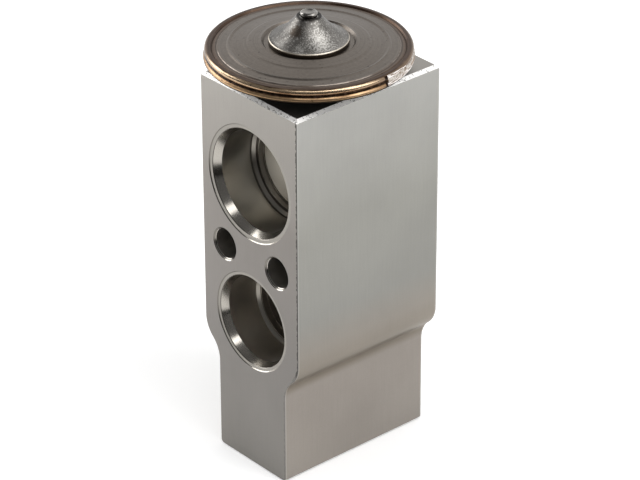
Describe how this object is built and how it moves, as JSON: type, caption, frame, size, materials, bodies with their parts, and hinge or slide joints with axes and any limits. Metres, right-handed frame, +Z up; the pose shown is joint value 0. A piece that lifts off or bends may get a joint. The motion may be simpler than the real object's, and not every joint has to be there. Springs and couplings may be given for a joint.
{
  "type": "expansion valve",
  "caption": "Block-type expansion valve: an extruded and milled aluminium block with stepped tube ports and a curved waist, topped by a welded steel power head with a charge cone.",
  "frame": {"origin": "where the valve axis, down the rod, ball and adjusting screw, meets the underside of the foot", "axes": "+Z up along the valve axis to the power head, -Y out of the face with the two large ports, X along the block's width"},
  "size_m": [0.043, 0.0438, 0.101],
  "materials": {
    "machined_aluminium": "extruded and milled, satin",
    "tinted_steel": "pressed stainless steel with heat tint, satin",
    "tinted_rim_steel": "welded stainless rim with golden heat tint",
    "weld_bead": "dark rippled weld",
    "diaphragm_steel": "thin spring steel, bright",
    "pad_steel": "turned steel",
    "cone_steel": "turned steel, satin",
    "sealing_pin_steel": "resistance-welded pin, dull",
    "seal_rubber": "smooth moulded rubber",
    "rod_aluminium": "turned",
    "pin_steel": "ground",
    "washer_plastic": "white sliding washer",
    "retainer_steel": "stamped spring steel",
    "ball_steel": "polished",
    "cradle_brass": "turned",
    "spring_wire": "drawn wire with ground ends",
    "screw_brass": "turned and threaded"
  },
  "bodies": {
    "root": {"valve_body": "machined_aluminium", "upper_case": "tinted_steel", "lower_case": "tinted_rim_steel", "rim_weld": "weld_bead", "diaphragm": "diaphragm_steel", "charge_cone": "cone_steel", "sealing_pin": "sealing_pin_steel", "head_seal": "seal_rubber", "rod_seal": "seal_rubber", "seal_washer": "washer_plastic", "seal_retainer": "retainer_steel"},
    "plunger": {"diaphragm_pad": "pad_steel", "sensing_rod": "rod_aluminium", "push_pin": "pin_steel", "valve_ball": "ball_steel", "ball_cradle": "cradle_brass", "damper_ring": "retainer_steel"},
    "spring_carrier": {"superheat_spring": "spring_wire"},
    "adjuster": {"adjusting_screw": "screw_brass", "adjuster_seal": "seal_rubber"}
  },
  "joints": [
    {"name": "valve_lift", "type": "slide", "parent": "root", "child": "plunger", "axis": [0, 0, -1], "range_m": [0, 0.0008], "stiffness_N_per_m": 8900, "deforming": ["superheat_spring"]},
    {"name": "adjuster_advance", "type": "slide", "parent": "root", "child": "spring_carrier", "axis": [0, 0, 1], "range_m": [-0.0015, 0], "deforming": ["superheat_spring"]},
    {"name": "adjuster_turn", "type": "hinge", "parent": "spring_carrier", "child": "adjuster", "pos_m": [0, 0, 0.005], "axis": [0, 0, 1], "range_deg": [-540, 0]}
  ],
  "couplings": [
    {"joint": "adjuster_advance", "follows": "adjuster_turn", "m_per_rad": 0.00015915}
  ]
}
